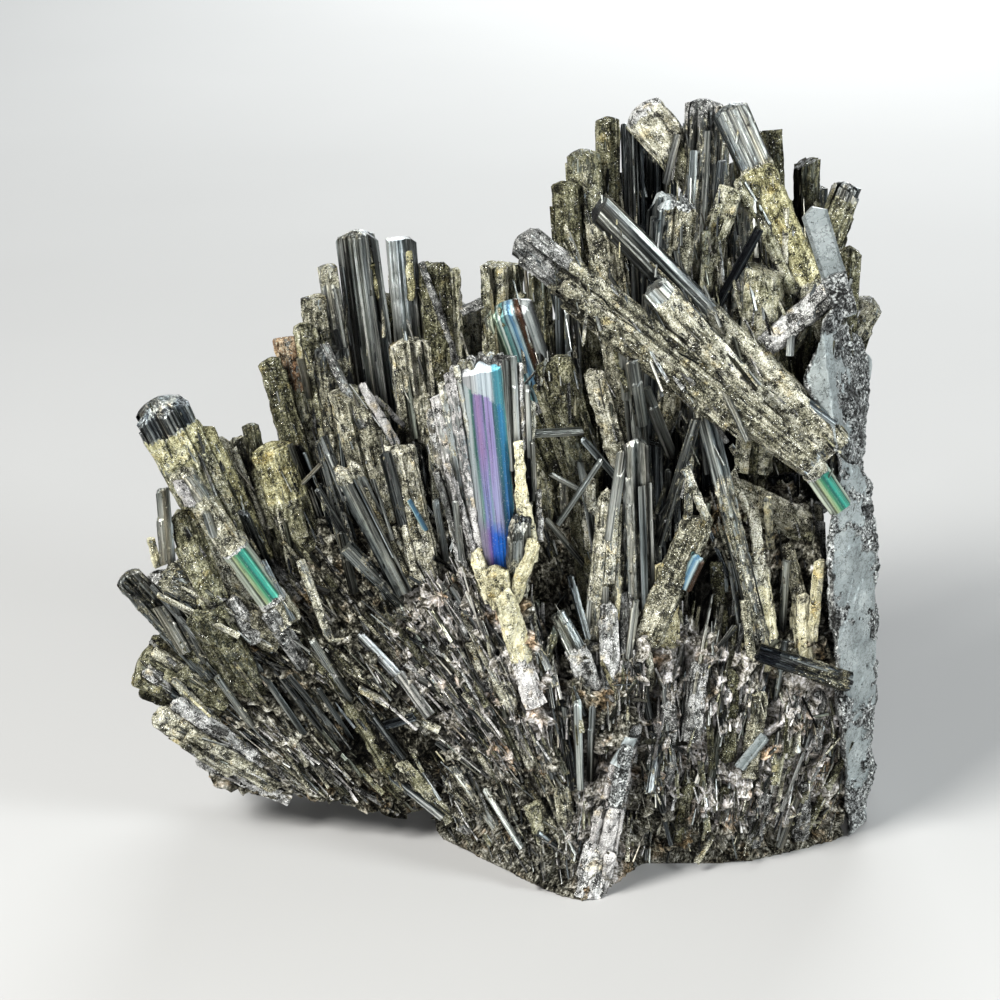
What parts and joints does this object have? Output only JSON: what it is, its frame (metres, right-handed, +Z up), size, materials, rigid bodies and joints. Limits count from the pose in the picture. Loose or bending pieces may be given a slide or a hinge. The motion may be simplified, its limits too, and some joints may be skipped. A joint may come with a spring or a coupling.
{
  "type": "stibnite crystal cluster",
  "caption": "Spray of long striated metallic stibnite crystals standing on a fibrous root, cut flat underneath to rest on a shelf.",
  "frame": {"origin": "on the cut underside, about the middle of the resting face", "axes": "+Z up, +X to the right seen from the front, the show face looks along -Y"},
  "size_m": [0.1061, 0.0715, 0.1038],
  "materials": {
    "stibnite": "bright metallic lead-grey, striated along the prism",
    "iridescent_stibnite": "metallic with a blue, teal and purple tarnish",
    "coated_stibnite": "dull tan to olive oxide crust with black specks",
    "cleaved_stibnite": "fresh cleavage, satin blue-grey",
    "massive_stibnite": "fibrous and granular, dull grey with brown dirt in the hollows"
  },
  "bodies": {
    "root": {"back_centre": "coated_stibnite", "back_centre_column": "stibnite", "back_left_olive": "coated_stibnite", "back_left_square": "stibnite", "back_left_tall": "stibnite", "centre_bundle": "stibnite", "cleaved_slab": "cleaved_stibnite", "coated_companion": "coated_stibnite", "coated_rod_centre": "coated_stibnite", "crown_block": "coated_stibnite", "crown_broken": "stibnite", "crown_cream": "coated_stibnite", "crown_dark": "stibnite", "crown_dome": "stibnite", "crown_left_column": "coated_stibnite", "crown_left_pair": "stibnite", "crown_outlier": "coated_stibnite", "crown_rear_bundle": "stibnite", "crown_right_column": "stibnite", "crown_right_olive": "coated_stibnite", "crown_slanting_block": "coated_stibnite", "crown_yellow": "coated_stibnite", "dark_lying_rod": "stibnite", "diagonal_long": "coated_stibnite", "diagonal_short": "coated_stibnite", "diagonal_steel": "stibnite", "dull_column": "coated_stibnite", "flat_topped_rod": "stibnite", "grey_rod_left": "stibnite", "iridescent_blade": "iridescent_stibnite", "iridescent_companion": "iridescent_stibnite", "left_bundle": "coated_stibnite", "left_coated_prong": "coated_stibnite", "left_flat_block": "coated_stibnite", "left_lower_rod": "coated_stibnite", "left_prong": "stibnite", "left_rear_bundle": "stibnite", "left_round_crust": "coated_stibnite", "left_shoulder_group": "coated_stibnite", "left_slender_crystal": "coated_stibnite", "left_tip_crystal": "coated_stibnite", "long_blade": "stibnite", "middle_rounded_block": "coated_stibnite", "rear_crystal_a": "stibnite", "rear_crystal_b": "stibnite", "rear_crystal_c": "stibnite", "rear_crystal_d": "stibnite", "rear_fan": "stibnite", "recess_block": "coated_stibnite", "recess_bundle": "stibnite", "recess_column": "coated_stibnite", "right_stub": "coated_stibnite", "right_wall": "cleaved_stibnite", "root_mass": "massive_stibnite", "silver_rod": "stibnite", "striated_rod_left": "stibnite", "tan_leaning_rod": "coated_stibnite", "tangle_bundle": "stibnite", "tilted_top_block": "coated_stibnite", "trunk_column": "coated_stibnite"}
  },
  "joints": []
}
